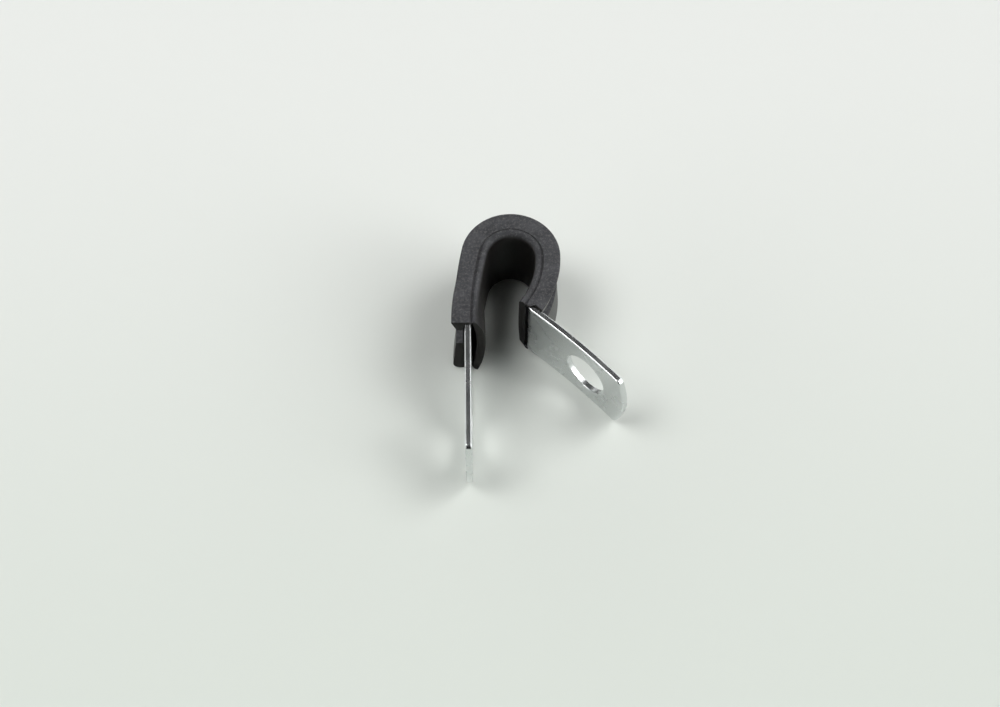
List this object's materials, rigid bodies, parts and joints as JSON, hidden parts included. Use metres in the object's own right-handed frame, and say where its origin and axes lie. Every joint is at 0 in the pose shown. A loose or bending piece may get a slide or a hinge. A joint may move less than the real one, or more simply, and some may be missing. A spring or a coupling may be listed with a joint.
{
  "type": "p clip",
  "caption": "Rubber-lined metal P clip that holds a cable in its loop and is bolted down through a hole in each leg.",
  "frame": {"origin": "axis of the cable loop, halfway along its width", "axes": "+Z along the loop's axis, towards the side of the liner's narrow lip; +Y from the straight leg's tip along that leg to the loop; +X from the straight leg to the bent leg"},
  "size_m": [0.0242, 0.0378, 0.013],
  "materials": {
    "zinc_steel": "zinc plated, smooth and slightly dull",
    "epdm_rubber": "matt black moulded rubber"
  },
  "bodies": {
    "root": {"steel_strip": "zinc_steel", "rubber_liner": "epdm_rubber"}
  },
  "joints": []
}
